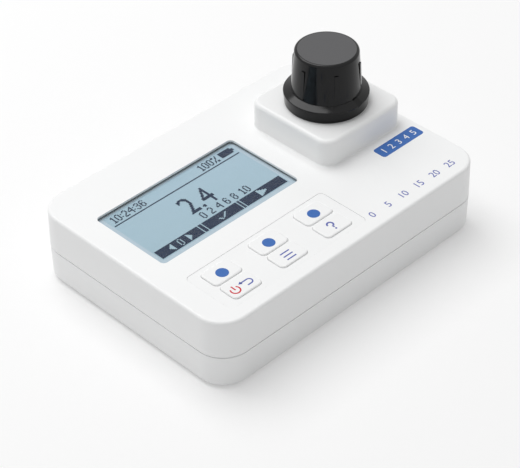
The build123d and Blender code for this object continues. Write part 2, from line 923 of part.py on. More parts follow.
def cuvette_glass():
    """The glass vial: straight body, rounded foot, sloping shoulder and a plain neck."""
    inner_radius = vial_radius - vial_wall
    floor_top = vial_bottom_z + vial_base
    points = [
        (0, vial_bottom_z),
        (vial_radius, vial_bottom_z),
        (vial_radius, shoulder_z),
        (neck_radius, neck_z),
        (neck_radius, vial_top_z),
        (mouth_radius, vial_top_z),
        (mouth_radius, neck_z),
        (inner_radius, shoulder_z),
        (inner_radius, floor_top),
        (0, floor_top),
    ]
    rounds = [
        ((vial_radius, vial_bottom_z), vial_foot_round),
        ((vial_radius, shoulder_z), shoulder_round),
        ((neck_radius, neck_z), neck_round),
        ((mouth_radius, neck_z), shoulder_inner_round),
        ((inner_radius, shoulder_z), shoulder_inner_round),
        ((inner_radius, floor_top), vial_foot_round),
        ((neck_radius, vial_top_z), rim_round),
        ((mouth_radius, vial_top_z), rim_round),
    ]
    return Pos(well_x, well_y, 0) * turned(points, rounds)


def cuvette_stopper():
    """A hollow plug in the neck with a flange on its rim."""
    plug_radius = mouth_radius - running_gap
    plug_z = vial_top_z - stopper_depth
    points = [
        (0, plug_z),
        (plug_radius, plug_z),
        (plug_radius, vial_top_z),
        (neck_radius, vial_top_z),
        (neck_radius, stopper_top_z),
        (plug_radius - stopper_wall, stopper_top_z),
        (plug_radius - stopper_wall, plug_z + stopper_wall),
        (0, plug_z + stopper_wall),
    ]
    rounds = [
        ((plug_radius, plug_z), stopper_foot_round),
        ((neck_radius, stopper_top_z), rim_round),
    ]
    return Pos(well_x, well_y, 0) * turned(points, rounds)


def cap_seal():
    low = cap_seal_top_z - cap_seal_thickness
    return disc(cap_bore_radius - running_gap, low, cap_seal_top_z, well_x, well_y)


def cuvette_cap():
    """The screw cap: a wide flange that shuts out light, a sloping ring and a tapered grip."""
    skirt_radius = vial_radius + seat_gap
    skirt_top = neck_z
    points = [
        (skirt_radius, cap_foot_z),
        (cap_flange_foot_radius, cap_foot_z),
        (cap_flange_radius, cap_slope_z),
        (cap_foot_radius, cap_cone_z),
        (cap_top_radius, cap_top_z),
        (0, cap_top_z),
        (0, cap_roof_z),
        (cap_bore_radius, cap_roof_z),
        (cap_bore_radius, skirt_top),
        (skirt_radius, skirt_top),
    ]
    rounds = [
        ((cap_top_radius, cap_top_z), cap_edge_round),
        ((cap_flange_radius, cap_slope_z), cap_flange_round),
        ((cap_flange_foot_radius, cap_foot_z), cap_flange_foot_round),
    ]
    cap = turned(points, rounds)
    for step in range(rib_count):
        cap += Rot(0, 0, step * 360 / rib_count) * grip_rib()
    cap -= index_notch()
    return Pos(well_x, well_y, 0) * cap


def cone_radius(z):
    """Outer radius of the tapered grip at a height."""
    share = (z - cap_cone_z) / (cap_top_z - cap_cone_z)
    return cap_foot_radius + share * (cap_top_radius - cap_foot_radius)


def grip_rib():
    """A rib with less taper than the grip, so it fades into the grip at its foot."""
    top = cap_top_z - rib_start_below_top
    foot = cap_cone_z + rib_above_cone_foot
    profile = [
        (cone_radius(foot) - rib_sunk, foot),
        (cone_radius(foot), foot),
        (cone_radius(top) + rib_proud_at_top, top),
        (cone_radius(top) - rib_sunk, top),
    ]
    face = make_face(Polyline([(r, 0, z) for r, z in profile], close=True))
    rib = extrude(face, rib_width / 2, both=True)
    outer = rib.edges().group_by(Axis.X)[-1]
    return fillet(outer, rib_round)


def index_notch():
    """A wedge out of the sloping ring at the front, deep at one side and fading at the other."""
    points = [
        (0, 0, -notch_depth),
        (0, 0, cut_margin),
        (notch_width, 0, cut_margin),
        (notch_width, 0, 0),
    ]
    wedge = make_face(Polyline(points, close=True))
    length = cap_flange_radius - cap_foot_radius + cut_margin
    block = extrude(wedge, length / 2, both=True)
    slope = math.degrees(math.atan2(cap_slope_rise, cap_flange_radius - cap_foot_radius))
    middle_radius = (cap_flange_radius + cap_foot_radius) / 2
    middle_z = (cap_slope_z + cap_cone_z) / 2
    return Pos(0, -middle_radius, middle_z) * Rot(slope, 0, 0) * block


def cell_centres():
    return [bay_y + step * cell_pitch for step in (-1, 0, 1)]


def cell(y, direction):
    """An AA cell along X with its positive nub at the given end."""
    body_length = cell_length - cell_nub_length
    body = Rot(0, 90, 0) * Cylinder(cell_radius, body_length)
    body = fillet(body.edges().filter_by(GeomType.CIRCLE), cell_round)
    nub = Rot(0, 90, 0) * Cylinder(cell_nub_radius, cell_nub_length)
    body += Pos((body_length + cell_nub_length) / 2, 0, 0) * nub
    if direction < 0:
        body = Rot(0, 0, 180) * body
    shift = direction * (spring_room - cell_nub_length) / 2
    return Pos(bay_x + shift, y, cell_z) * body


def cell_directions():
    return [1, -1, 1]


def battery_cradle():
    """A moulding that hugs the upper half of the cells, with an end wall for the contacts."""
    low = lug_top_z + loose_gap
    half = contact_x + contact_thickness + cradle_end_wall
    width = 2 * (cell_pitch + cell_radius + cradle_side_wall)
    body = slab(2 * half, width, cradle_corner, low, bay_ceiling_z)
    body &= disc(bay_radius - running_gap, low, bay_ceiling_z)
    inside = 2 * (contact_x + contact_thickness)
    for y in cell_centres():
        trough = Rot(0, 90, 0) * Cylinder(cell_radius + running_gap, inside)
        body -= Pos(0, y - bay_y, cell_z) * trough
    plates = Box(inside, 2 * cell_pitch + contact_width, contact_width)
    body -= Pos(0, 0, cell_z) * (plates - Box(2 * contact_x, case_width, contact_width))
    return Pos(bay_x, bay_y, 0) * body


def battery_contacts():
    """Plates at both ends of the cells, with a bowed spring at each negative end."""
    parts = []
    plate_height = contact_width
    middle = contact_x + contact_thickness / 2
    first, second, third = cell_centres()
    ends = {1: [(first, first), (second, third)], -1: [(first, second), (third, third)]}
    for side, spans in ends.items():
        for start, end in spans:
            plate = Box(contact_thickness, end - start + contact_width, plate_height)
            parts.append(Pos(bay_x + side * middle, (start + end) / 2, cell_z) * plate)
    for y, direction in zip(cell_centres(), cell_directions()):
        parts.append(bowed_spring(y, -direction))
    return parts


def bowed_spring(y, side):
    """A strip bowed from the contact plate to the flat end of a cell."""
    reach = spring_room - contact_thickness / 2
    arc = ThreePointArc((0, -spring_half_height), (reach, 0), (0, spring_half_height))
    strip = extrude(trace(arc, contact_thickness), spring_width / 2, both=True)
    depth = reach + contact_thickness / 2
    strip &= Pos(depth / 2, 0, 0) * Box(depth, contact_width, spring_width)
    if side > 0:
        strip = Rot(0, 0, 180) * strip
    return Pos(bay_x + side * contact_x, y, cell_z) * strip


def battery_cover():
    """A round cover with a coin slot, a spigot and three bayonet lugs."""
    plate = disc(cover_radius, foot_height, cover_top_z)
    plate = fillet(bottom_edges(plate), cover_round)
    outer = bay_radius - bayonet_gap
    cover = plate + ring(outer, outer - cover_spigot_wall, cover_top_z, lug_top_z)
    for turn in lug_turns():
        lug = sector(bay_radius + lug_reach - bayonet_gap, lug_angle, lug_under_z, lug_top_z)
        lug -= disc(outer - cover_spigot_wall / 2, lug_under_z, lug_top_z)
        cover += Rot(0, 0, turn) * lug
    cover -= cover_seal_ring(0)
    slot = SlotOverall(coin_slot_length, coin_slot_width)
    cover -= Pos(0, 0, foot_height) * extrude(slot, coin_slot_depth)
    return Pos(bay_x, bay_y, 0) * cover


def cover_seal_ring(gap):
    middle = (bay_radius + cover_radius) / 2
    half = cover_seal_width / 2 - gap
    return ring(middle + half, middle - half, cover_top_z - cover_seal_height, cover_top_z)


def battery_cover_seal():
    return Pos(bay_x, bay_y, 0) * cover_seal_ring(running_gap / 2)


def case_seal():
    low = seam_z - tongue_height - seal_height
    return seal_ring(low, low + seal_height, running_gap / 2)


def cells():
    names = ("battery_1", "battery_2", "battery_3")
    rows = zip(names, cell_centres(), cell_directions())
    return {name: cell(y, direction) for name, y, direction in rows}


def all_parts():
    """Every sub-part by name. A list is a group of separate solids in one part."""
    parts = {
        "upper_case": upper_case(),
        "lower_case": lower_case(),
        "case_seal": case_seal(),
        "case_screws": case_screws(),
        "rubber_feet": rubber_feet(),
        "display_lens": display_lens(),
        "lens_seal": lens_seal(),
        "lcd_glass": lcd_glass(),
        "lcd_backlight": lcd_backlight(),
        "lcd_frame": lcd_frame(),
        "keypad_mat": keypad_mat(),
        "key_switches": key_switches(),
        "main_board": main_board(),
        "board_screws": board_screws(),
        "microcontroller": microcontroller(),
        "board_parts": board_parts(),
        "buzzer": buzzer(),
        "cuvette_holder": cuvette_holder(),
        "holder_seal": holder_seal(),
        "holder_screws": holder_screws(),
        "led_lamp": led_lamp(),
        "led_bush": led_bush(),
        "led_board": led_board(),
        "focusing_lens": focusing_lens(),
        "beam_splitter": beam_splitter(),
        "reference_detector": reference_detector(),
        "interference_filter": interference_filter(),
        "photodetector": photodetector(),
        "detector_board": detector_board(),
        "cuvette_glass": cuvette_glass(),
        "cuvette_stopper": cuvette_stopper(),
        "cap_seal": cap_seal(),
        "cuvette_cap": cuvette_cap(),
        "battery_cradle": battery_cradle(),
        "battery_contacts": battery_contacts(),
        "battery_cover": battery_cover(),
        "battery_cover_seal": battery_cover_seal(),
    }
    for name, (x, y) in key_places().items():
        parts[name] = key(x, y)
    parts.update(cells())
    return parts


def main():
    os.makedirs("parts", exist_ok=True)
    for name, shape in all_parts().items():
        if isinstance(shape, list):
            shape = Compound(children=shape)
        export_step(shape, f"parts/{name}.step")


main()
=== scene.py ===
# %% [markdown]
# A photometer reads how much light a coloured sample lets through. This one is a flat white case with a
# display and six keys, and a raised block whose round well holds a glass cuvette under a black screw cap.
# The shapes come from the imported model. Here they get their finishes, the print and the display's picture.

import json
import math

import bpy
from mathutils import Matrix, Vector


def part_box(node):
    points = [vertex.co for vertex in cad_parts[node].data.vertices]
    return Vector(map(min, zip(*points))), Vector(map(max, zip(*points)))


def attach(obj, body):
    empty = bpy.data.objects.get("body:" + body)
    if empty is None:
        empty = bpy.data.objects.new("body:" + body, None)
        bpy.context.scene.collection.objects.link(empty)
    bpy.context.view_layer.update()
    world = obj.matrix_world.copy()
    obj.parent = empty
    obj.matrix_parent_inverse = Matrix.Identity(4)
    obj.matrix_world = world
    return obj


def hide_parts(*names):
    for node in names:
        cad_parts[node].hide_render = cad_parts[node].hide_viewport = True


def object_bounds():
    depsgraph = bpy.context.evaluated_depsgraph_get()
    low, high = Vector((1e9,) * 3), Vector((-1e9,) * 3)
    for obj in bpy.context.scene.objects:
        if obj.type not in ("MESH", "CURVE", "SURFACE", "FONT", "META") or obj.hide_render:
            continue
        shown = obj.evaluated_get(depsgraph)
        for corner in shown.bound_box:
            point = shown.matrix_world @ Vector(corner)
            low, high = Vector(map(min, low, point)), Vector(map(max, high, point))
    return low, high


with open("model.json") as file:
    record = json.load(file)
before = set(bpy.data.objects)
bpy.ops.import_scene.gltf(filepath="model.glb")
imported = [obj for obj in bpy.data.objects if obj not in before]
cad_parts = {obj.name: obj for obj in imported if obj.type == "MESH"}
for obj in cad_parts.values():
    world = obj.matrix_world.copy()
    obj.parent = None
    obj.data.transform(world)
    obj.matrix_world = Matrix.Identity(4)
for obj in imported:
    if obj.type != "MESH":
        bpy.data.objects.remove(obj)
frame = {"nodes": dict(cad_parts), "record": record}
cad_nodes = frame["nodes"]
cad_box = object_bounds()
mm = 0.001
print("size in mm", [round((high - low) / mm, 1) for low, high in zip(*cad_box)])

# %% [markdown]
# The camera stands at the front left corner, about 0.7 m away and 39 degrees above the table. A long lens
# keeps the edges of the case nearly parallel, as in a product picture. It could be aimed with a Track To
# constraint, but three unit vectors say the same thing plainly and hold the slight roll as well.

# %% Camera
camera_azimuth = math.radians(-44.52)
camera_elevation = math.radians(39.16)
camera_roll = math.radians(-0.73)
camera_distance = 694.24 * mm
camera_target = Vector((-13.18, -11.84, 20.0)) * mm
picture_width = 520
focal_pixels = 1821.66


def direction(azimuth, elevation):
    """The unit vector towards an azimuth, counted from the front, and an elevation."""
    return Vector((
        math.sin(azimuth) * math.cos(elevation),
        -math.cos(azimuth) * math.cos(elevation),
        math.sin(elevation),
    ))


towards_camera = direction(camera_azimuth, camera_elevation)
level_right = (-towards_camera).cross(Vector((0, 0, 1))).normalized()
level_up = towards_camera.cross(level_right)
camera_right = level_right * math.cos(camera_roll) + level_up * math.sin(camera_roll)
camera_up = level_up * math.cos(camera_roll) - level_right * math.sin(camera_roll)

bpy.ops.object.camera_add()
camera = bpy.context.object
camera.data.sensor_width = 36.0
camera.data.lens = camera.data.sensor_width * focal_pixels / picture_width
turn = Matrix((camera_right, camera_up, towards_camera)).transposed().to_4x4()
camera.matrix_world = Matrix.Translation(camera_target + towards_camera * camera_distance) @ turn
bpy.context.scene.camera = camera
print("lens in mm", round(camera.data.lens, 1))


# %% [markdown]
# A material is a small graph of nodes. Written out node by node it hides its own idea, so one small class
# wraps a socket: sums and products of such values add Math nodes, and every other node comes from one
# method that takes its type, its settings and its inputs.

# %% Shader expressions
noise_low = 0.3
noise_high = 0.7


class Value:
    """One output of a node in a shader tree."""

    def __init__(self, tree, socket):
        self.tree = tree
        self.socket = socket

    def node(self, kind, settings=None, inputs=None, output=0):
        """Adds a node, its settings first, then the values or links of its inputs."""
        made = self.tree.nodes.new(kind)
        for name, setting in (settings or {}).items():
            setattr(made, name, setting)
        for name, value in (inputs or {}).items():
            if isinstance(value, Value):
                self.tree.links.new(value.socket, made.inputs[name])
            else:
                made.inputs[name].default_value = value
        return Value(self.tree, made.outputs[output] if made.outputs else None)

    def math(self, operation, first, second=0.0):
        return self.node("ShaderNodeMath", {"operation": operation}, {0: first, 1: second})

    def __add__(self, other):
        return self.math("ADD", self, other)

    def __radd__(self, other):
        return self.math("ADD", other, self)

    def __mul__(self, other):
        return self.math("MULTIPLY", self, other)

    def __rmul__(self, other):
        return self.math("MULTIPLY", other, self)

    def __gt__(self, other):
        return self.math("GREATER_THAN", self, other)

    def __lt__(self, other):
        return self.math("LESS_THAN", self, other)

    def axis(self, name):
        """One coordinate of a vector."""
        return self.node("ShaderNodeSeparateXYZ", {}, {0: self}, "XYZ".index(name))

    def noise(self, size, detail=2.0, rough=0.5):
        """Soft random grain from 0 to 1, with spots of about that size in metres."""
        inputs = {"Vector": self, "Scale": 1 / size, "Detail": detail, "Roughness": rough}
        return self.node("ShaderNodeTexNoise", {}, inputs)

    def mapped(self, low, high, new_low, new_high):
        """This value moved from one range to another, held inside it."""
        inputs = {"Value": self, "From Min": low, "From Max": high, "To Min": new_low, "To Max": new_high}
        return self.node("ShaderNodeMapRange", {"clamp": True}, inputs)

    def spread(self, new_low, new_high):
        """Noise keeps mostly to the middle of its range. This stretches that middle over a new range."""
        return self.mapped(noise_low, noise_high, new_low, new_high)

    def mix(self, first, second):
        """A colour between two, by this value."""
        inputs = {0: self, 6: first, 7: second}
        return self.node("ShaderNodeMix", {"data_type": "RGBA"}, inputs, 2)

    def bump(self, depth, strength=1.0):
        """A surface normal that follows this value as a height, up to a depth in metres."""
        return self.node("ShaderNodeBump", {}, {"Height": self, "Distance": depth, "Strength": strength})


def srgb(red, green, blue):
    """A colour as read from a screen, 0 to 255, as the linear values that a shader takes."""
    def linear(level):
        share = level / 255
        return share / 12.92 if share <= 0.04045 else ((share + 0.055) / 1.055) ** 2.4
    return (linear(red), linear(green), linear(blue), 1.0)


def scaled(colour, share):
    """A darker tone of a colour."""
    return tuple(share * level for level in colour[:3]) + (1.0,)


def new_material(name):
    """An empty material and the Object coordinates of its surface."""
    material = bpy.data.materials.new(name)
    material.use_nodes = True
    material.node_tree.nodes.clear()
    coordinates = material.node_tree.nodes.new("ShaderNodeTexCoord")
    return material, Value(material.node_tree, coordinates.outputs["Object"])


def principled(place, inputs):
    return place.node("ShaderNodeBsdfPrincipled", {}, inputs)


def finish(material, shader):
    """Makes a shader the surface of a material."""
    shader.node("ShaderNodeOutputMaterial", {}, {"Surface": shader})
    return material


print("white as read from a screen", srgb(255, 255, 255))

# %% [markdown]
# The light is that of a white studio table. One large soft box hangs above and behind the case, so the
# deck is bright, the two sides that face the camera lie in a mild shade and the shadow falls to the front.
# Its place is well off the mirror direction of the deck, where its reflection would wash out the ink.
# Several small lamps would give as much light, but each would throw a shadow of its own.

# %% Soft box
key_box_size = 1.1
key_box_power = 13.5
key_box_azimuth = math.radians(-176)
key_box_elevation = math.radians(65)
key_box_distance = 1.4

towards_box = direction(key_box_azimuth, key_box_elevation)
box_turn = towards_box.to_track_quat("Z", "Y").to_matrix().to_4x4()

bpy.ops.object.light_add(type="AREA")
key_box = bpy.context.object
key_box.name = "key_box"
key_box.data.shape = "SQUARE"
key_box.data.size = key_box_size
key_box.data.energy = key_box_power
key_box.matrix_world = Matrix.Translation(camera_target + towards_box * key_box_distance) @ box_turn
print("soft box at", [round(place, 2) for place in key_box.matrix_world.translation])

# %% [markdown]
# The world fills in evenly, at about half of white. A brighter world would light the case more, so only
# the rays that look at it see it white: those straight from the camera, those mirrored by gloss and those
# that went through glass. The colours of the case then show about as they are written.

# %% World
white = (1, 1, 1, 1)
fill_strength = 0.47
white_strength = 1.0


def white_rays(tree):
    """1 for the rays that should meet plain white: straight ones, mirrored ones and those through glass."""
    path = tree.nodes.new("ShaderNodeLightPath")
    straight, mirrored, through = (
        Value(tree, path.outputs[name]) for name in ("Is Camera Ray", "Is Glossy Ray", "Is Transmission Ray")
    )
    return straight.math("MAXIMUM", straight.math("MAXIMUM", straight, mirrored), through)


world = bpy.data.worlds.new("studio")
world.use_nodes = True
world.node_tree.nodes.clear()
rays = white_rays(world.node_tree)
fill = rays.node("ShaderNodeBackground", {}, {"Color": white, "Strength": fill_strength})
backdrop = rays.node("ShaderNodeBackground", {}, {"Color": white, "Strength": white_strength})
seen = rays.node("ShaderNodeMixShader", {}, {0: rays, 1: fill, 2: backdrop})
rays.node("ShaderNodeOutputWorld", {}, {"Surface": seen})
bpy.context.scene.world = world
bpy.context.scene.view_settings.view_transform = "Standard"
print("fill of the world", fill_strength)

# %% [markdown]
# The table is a plain pale sheet that takes the shadow of the case. To the same rays as above a part of it
# glows, so that it stays as white as the studio round it and the shadow stays faint. A shadow catcher would
# do that too, but it needs a second step that lays the picture over white.

# %% Floor
floor_size = 6
floor_glow = 0.3
glow_strength = 1.05
sheet_colour = (0.92, 0.92, 0.92, 1)

bpy.ops.mesh.primitive_plane_add(size=floor_size)
floor = bpy.context.object
floor.name = "floor"
sheet, place = new_material("table_sheet")
rays = white_rays(sheet.node_tree)
lit = place.node("ShaderNodeBsdfDiffuse", {}, {"Color": sheet_colour})
glow = place.node("ShaderNodeEmission", {}, {"Color": white, "Strength": glow_strength})
bright = place.node("ShaderNodeMixShader", {}, {0: rays * floor_glow, 1: lit, 2: glow})
floor.data.materials.append(finish(sheet, bright))
print("floor in m", floor_size)


# %% [markdown]
# Most pieces are moulded plastic: one even colour, a fine spark eroded grain that breaks up reflections,
# and a tone that drifts a little over the moulding. One recipe makes them all, with the colour, gloss and
# grain of each. A picture of grain could be laid on instead, but noise needs no file and never repeats.

# %% Moulded plastics
drift_size = 18 * mm
gloss_swing = 0.04
grain_strength = 0.35
white_drift = 0.012


def moulded(name, colour, roughness, grain, depth, drift=0.03):
    """Plastic with a fine grain of a size and depth, and a slight drift of tone."""
    material, place = new_material(name)
    tone = place.noise(drift_size, 3.0).spread(0.0, 1.0)
    pits = place.noise(grain, 4.0, 0.6)
    inputs = {
        "Base Color": tone.mix(scaled(colour, 1 - drift), colour),
        "Roughness": pits.spread(roughness - gloss_swing, roughness + gloss_swing),
        "Normal": pits.bump(depth, grain_strength),
    }
    return finish(material, principled(place, inputs))


shell_white = (0.90, 0.905, 0.905, 1)
keypad_white = (0.89, 0.895, 0.895, 1)
inner_white = (0.78, 0.78, 0.76, 1)
inner_black = (0.03, 0.03, 0.032, 1)
optical_black = (0.015, 0.015, 0.016, 1)
seal_black = (0.035, 0.035, 0.036, 1)
foot_grey = (0.12, 0.12, 0.125, 1)
stopper_white = (0.80, 0.81, 0.80, 1)
guide_clear = (0.85, 0.88, 0.9, 1)
lamp_clear = (0.75, 0.82, 0.9, 1)

plastics = {
    "white_shell": {
        "colour": shell_white, "roughness": 0.42, "drift": white_drift,
        "grain": 0.22 * mm, "depth": 0.012 * mm,
    },
    "white_keypad": {
        "colour": keypad_white, "roughness": 0.5, "drift": white_drift,
        "grain": 0.3 * mm, "depth": 0.01 * mm,
    },
    "white_inner_plastic": {"colour": inner_white, "roughness": 0.5, "grain": 0.4 * mm, "depth": 0.02 * mm},
    "black_inner_plastic": {"colour": inner_black, "roughness": 0.45, "grain": 0.4 * mm, "depth": 0.02 * mm},
    "black_optical_plastic": {
        "colour": optical_black, "roughness": 0.6, "grain": 0.5 * mm, "depth": 0.03 * mm,
    },
    "dark_rubber": {"colour": seal_black, "roughness": 0.75, "grain": 0.3 * mm, "depth": 0.02 * mm},
    "grey_rubber": {"colour": foot_grey, "roughness": 0.8, "grain": 0.3 * mm, "depth": 0.03 * mm},
    "stopper_plastic": {"colour": stopper_white, "roughness": 0.35, "grain": 0.5 * mm, "depth": 0.01 * mm},
    "light_guide": {"colour": guide_clear, "roughness": 0.2, "grain": 0.6 * mm, "depth": 0.01 * mm},
    "lamp_resin": {"colour": lamp_clear, "roughness": 0.08, "grain": 0.8 * mm, "depth": 0.004 * mm},
}
materials = {name: moulded(name, **look) for name, look in plastics.items()}
print("moulded plastics", len(materials))

# %% [markdown]
# The cap is a black moulding with a polished side and a satin top. The polish mirrors the white studio as
# soft upright bands. The satin top also gets a lighter grey base colour, which is painted sheen. A second
# material on the top faces would end at the edge of a face. The top is told apart by its height and its
# distance from the axis, so the rounded rim keeps the gloss, as on the real cap.

# %% Black cap
cap_low, cap_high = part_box("cuvette_cap")
cap_axis = ((cap_low.x + cap_high.x) / 2, (cap_low.y + cap_high.y) / 2, 0)
satin_radius = 11.5 * mm
satin_edge = 0.25 * mm
satin_depth = 0.3 * mm
satin_roughness = 0.3
polish_size = 6 * mm
polish_roughness = (0.1, 0.15)
polish_grain = 0.1
fine_size = 0.25 * mm
fine_depth = 0.01 * mm
fine_strength = 0.4
cap_mirror = 0.25
polished_black = (0.004, 0.004, 0.0045, 1)
# Painted sheen: the satin top gets a lighter grey base colour than the polished side, besides its real
# rougher gloss.
satin_top_painted_sheen = (0.085, 0.085, 0.088, 1)

black_cap, place = new_material("black_cap_plastic")
from_axis = place.node("ShaderNodeVectorMath", {"operation": "SUBTRACT"}, {0: place, 1: cap_axis})
flat = from_axis.node("ShaderNodeVectorMath", {"operation": "MULTIPLY"}, {0: from_axis, 1: (1, 1, 0)})
radius = flat.node("ShaderNodeVectorMath", {"operation": "LENGTH"}, {0: flat}, 1)
near_axis = radius.mapped(satin_radius, satin_radius + satin_edge, 1, 0)
on_top = (place.axis("Z") > cap_high.z - satin_depth) * near_axis
fine = place.noise(fine_size, 3.0)
polish = place.noise(polish_size, 2.0).spread(*polish_roughness)
cap_surface = {
    "Base Color": on_top.mix(polished_black, satin_top_painted_sheen),
    "Roughness": polish + on_top * satin_roughness,
    "Specular IOR Level": cap_mirror,
    "Normal": (fine * (polish_grain + on_top)).bump(fine_depth, fine_strength),
}
materials["black_cap_plastic"] = finish(black_cap, principled(place, cap_surface))
print("satin top in mm", satin_radius / mm)

# %% [markdown]
# The window over the display is clear, so its shader only adds a faint mirror to what lies below it. The
# mirror grows with the slant of the view. Layer Weight gives that slant alike on both faces, where a
# Fresnel node would turn the underside into a full mirror.

# %% Clear window
window_tint = (0.97, 0.98, 0.985, 1)
window_roughness = 0.04
least_mirror = 0.015
grazing_mirror = 0.9
grazing_power = 5.0
smear_size = 12 * mm
smear_least = 0.7

clear, place = new_material("clear_window")
mirror = place.node("ShaderNodeBsdfGlossy", {}, {"Color": white, "Roughness": window_roughness})
through = place.node("ShaderNodeBsdfTransparent", {}, {"Color": window_tint})
grazing = place.node("ShaderNodeLayerWeight", {}, {"Blend": 0.5}, "Facing")
smear = place.noise(smear_size, 3.0).spread(smear_least, 1.0)
mirror_share = (grazing.math("POWER", grazing, grazing_power) * grazing_mirror + least_mirror) * smear
window = place.node("ShaderNodeMixShader", {}, {0: mirror_share, 1: through, 2: mirror})
materials["clear_window"] = finish(clear, window)
print("mirror of the window seen straight on", least_mirror)

# %% [markdown]
# A reflective display is a sheet of polariser over a silvery back: pale blue grey, a little darker where
# the liquid crystal is driven, and lighter on the border where it is not. Over the driven field the tone
# also slopes from darker at the front left to lighter at the rear right, which is painted shade. The border
# could be a frame of its own, but a test of the place against the picture's edges leaves the panel in one
# piece.

# %% Display panel
lcd_top_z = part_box("lcd_glass")[1].z
dot_columns = 128
dot_rows = 64
picture_length = 65.2 * mm
dot_pitch = picture_length / dot_columns
dots_left = -56.74 * mm
dots_rear = 27.2 * mm
dots_right = dots_left + dot_columns * dot_pitch
dots_front = dots_rear - dot_rows * dot_pitch
driven_border = 0.6 * mm
border_tone = srgb(190, 205, 215)
# Painted shade: the two ends of a slope over the driven field, lighter at the rear right and darker at the
# front left.
painted_light_rear_tone = srgb(176, 199, 212)
painted_shade_front_tone = srgb(168, 193, 204)
slope_share = 0.75
cloud_share = 0.25
cloud_size = 9 * mm
lcd_roughness = 0.4
lcd_mirror = 0.15

panel, place = new_material("lcd_panel")
across = place.axis("X")
deep = place.axis("Y")
inside = (
    (across > dots_left - driven_border) * (across < dots_right + driven_border)
    * (deep > dots_front - driven_border) * (deep < dots_rear + driven_border)
)
# Painted shade: the driven field grows darker towards the front left and lighter towards the rear right.
towards_left = across.mapped(dots_left, dots_right, 0.5, 0.0)
towards_front = deep.mapped(dots_front, dots_rear, 0.5, 0.0)
cloud = place.noise(cloud_size, 3.0).spread(0.0, cloud_share)
driven = ((towards_left + towards_front) * slope_share + cloud).mix(painted_light_rear_tone, painted_shade_front_tone)
lcd_surface = {
    "Base Color": inside.mix(border_tone, driven),
    "Roughness": lcd_roughness,
    "Specular IOR Level": lcd_mirror,
}
materials["lcd_panel"] = finish(panel, principled(place, lcd_surface))
print("dot pitch in mm", round(dot_pitch / mm, 3))


# %% [markdown]
# Metals carry fine lines from rolling or turning. Stretching the noise along one direction makes such
# lines, and they go into the colour, the roughness and the bump. A wave texture could draw them as well,
# but it would repeat.

# %% Metals
line_size = 0.3 * mm
line_depth = 0.005 * mm
line_strength = 0.4
smoother = 0.06
rougher = 0.08
dark_line_share = 0.85
along_z = (1, 1, 0.1)
along_y = (1, 0.1, 1)


def metal(name, colour, roughness, stretch):
    """Metal with fine lines along one direction."""
    material, place = new_material(name)
    long_way = place.node("ShaderNodeMapping", {}, {"Vector": place, "Scale": stretch})
    lines = long_way.noise(line_size, 3.0)
    inputs = {
        "Base Color": lines.mix(scaled(colour, dark_line_share), colour),
        "Metallic": 1.0,
        "Roughness": lines.spread(roughness - smoother, roughness + rougher),
        "Normal": lines.bump(line_depth, line_strength),
    }
    return finish(material, principled(place, inputs))


metals = {
    "screw_steel": {"colour": (0.62, 0.62, 0.61, 1), "roughness": 0.3, "stretch": along_z},
    "spring_steel": {"colour": (0.72, 0.71, 0.68, 1), "roughness": 0.25, "stretch": along_y},
    "detector_metal": {"colour": (0.7, 0.68, 0.6, 1), "roughness": 0.22, "stretch": along_y},
}
materials |= {name: metal(name, **look) for name, look in metals.items()}
print("metals", len(metals))

# %% [markdown]
# A circuit board is glass cloth under a green mask. The mask is a little darker between the copper planes,
# and the weave below it shows as a faint grain. The planes could be drawn one by one. Inside a closed case,
# patches of noise above a level are enough.

# %% Circuit board
bare_green = (0.012, 0.12, 0.045, 1)
copper_green = (0.02, 0.17, 0.06, 1)
copper_level = 0.55
copper_size = 5 * mm
weave_size = 0.5 * mm
weave_depth = 0.02 * mm
weave_strength = 0.4
mask_roughness = (0.3, 0.42)

board, place = new_material("circuit_board")
weave = place.noise(weave_size, 4.0)
copper = place.noise(copper_size, 5.0) > copper_level
board_surface = {
    "Base Color": copper.mix(bare_green, copper_green),
    "Roughness": weave.spread(*mask_roughness),
    "Normal": weave.bump(weave_depth, weave_strength),
}
materials["circuit_board"] = finish(board, principled(place, board_surface))
print("board", board.name)

# %% [markdown]
# The cells wear a plain printed jacket: black over most of the length and a copper coloured band at one
# end. The band could be a sleeve of its own, but a change of colour along the cell needs no new mesh. It
# starts at a share of the cell's own length, taken from the frame.

# %% Cell jacket
jacket_black = (0.02, 0.02, 0.022, 1)
jacket_copper = (0.55, 0.30, 0.10, 1)
band_share = 0.62
band_metal = 0.6
jacket_size = 1.5 * mm
jacket_roughness = (0.25, 0.4)

cell, place = new_material("cell_jacket")
cell_low, cell_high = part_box("battery_1")
band = place.axis("X") > cell_low.x + band_share * (cell_high.x - cell_low.x)
cell_surface = {
    "Base Color": band.mix(jacket_black, jacket_copper),
    "Metallic": band * band_metal,
    "Roughness": place.noise(jacket_size, 5.0).spread(*jacket_roughness),
}
materials["cell_jacket"] = finish(cell, principled(place, cell_surface))
print("cell length in mm", round((cell_high.x - cell_low.x) / mm, 1))


# %% [markdown]
# The vial is clear laboratory glass, and it only shows when it is lifted out of the well. The lens, the
# beam splitter and the filter in the optical block are made of the same refracting shader, each with its
# own tint and refractive index. The plain mirror of the window would leave them too faint, because the
# bending of light is what shows a vial.

# %% Glass
ripple_size = 8 * mm
ripple_depth = 0.05 * mm
ripple_strength = 0.1
ripple_haze = 0.02


def glass(name, colour, roughness, index):
    """Refracting glass with a very slight ripple."""
    material, place = new_material(name)
    ripple = place.noise(ripple_size, 2.0)
    inputs = {
        "Base Color": colour,
        "Roughness": ripple.spread(roughness, roughness + ripple_haze),
        "IOR": index,
        "Transmission Weight": 1.0,
        "Normal": ripple.bump(ripple_depth, ripple_strength),
    }
    return finish(material, principled(place, inputs))


